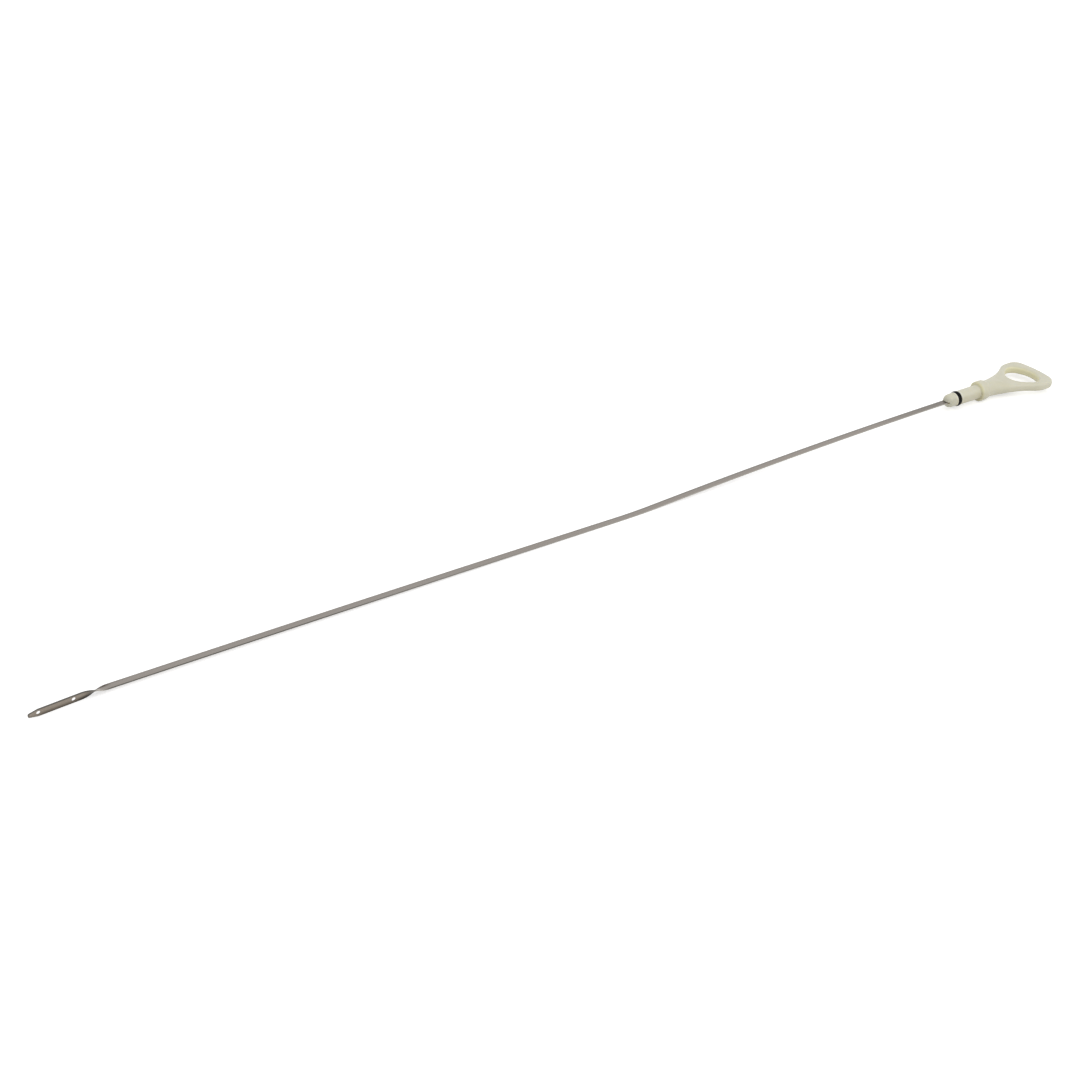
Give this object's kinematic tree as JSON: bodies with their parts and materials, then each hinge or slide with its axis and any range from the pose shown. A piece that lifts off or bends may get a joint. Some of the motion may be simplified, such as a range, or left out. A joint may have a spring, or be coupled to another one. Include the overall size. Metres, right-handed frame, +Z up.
{
  "type": "engine oil dipstick",
  "caption": "Flat steel oil gauge strip with a twisted, drilled tip, moulded into an ivory plastic handle that has a finger loop, a collar and a plug with a rubber sealing ring.",
  "frame": {"origin": "centre of the collar's seat, on the plug's axis", "axes": "+X along the plug's axis to the finger loop, -X to the strip's tip, +Y across the finger loop, +Z up from the surface it lies on"},
  "size_m": [0.7018, 0.0374, 0.0134],
  "materials": {
    "ivory_plastic": "satin ivory moulding, a little yellowed",
    "strip_steel": "dull warm grey rolled spring steel, browner and darker at the blade",
    "black_rubber": "black rubber with a soft sheen"
  },
  "bodies": {
    "root": {"handle": "ivory_plastic", "gauge_strip": "strip_steel", "o_ring": "black_rubber"}
  },
  "joints": []
}
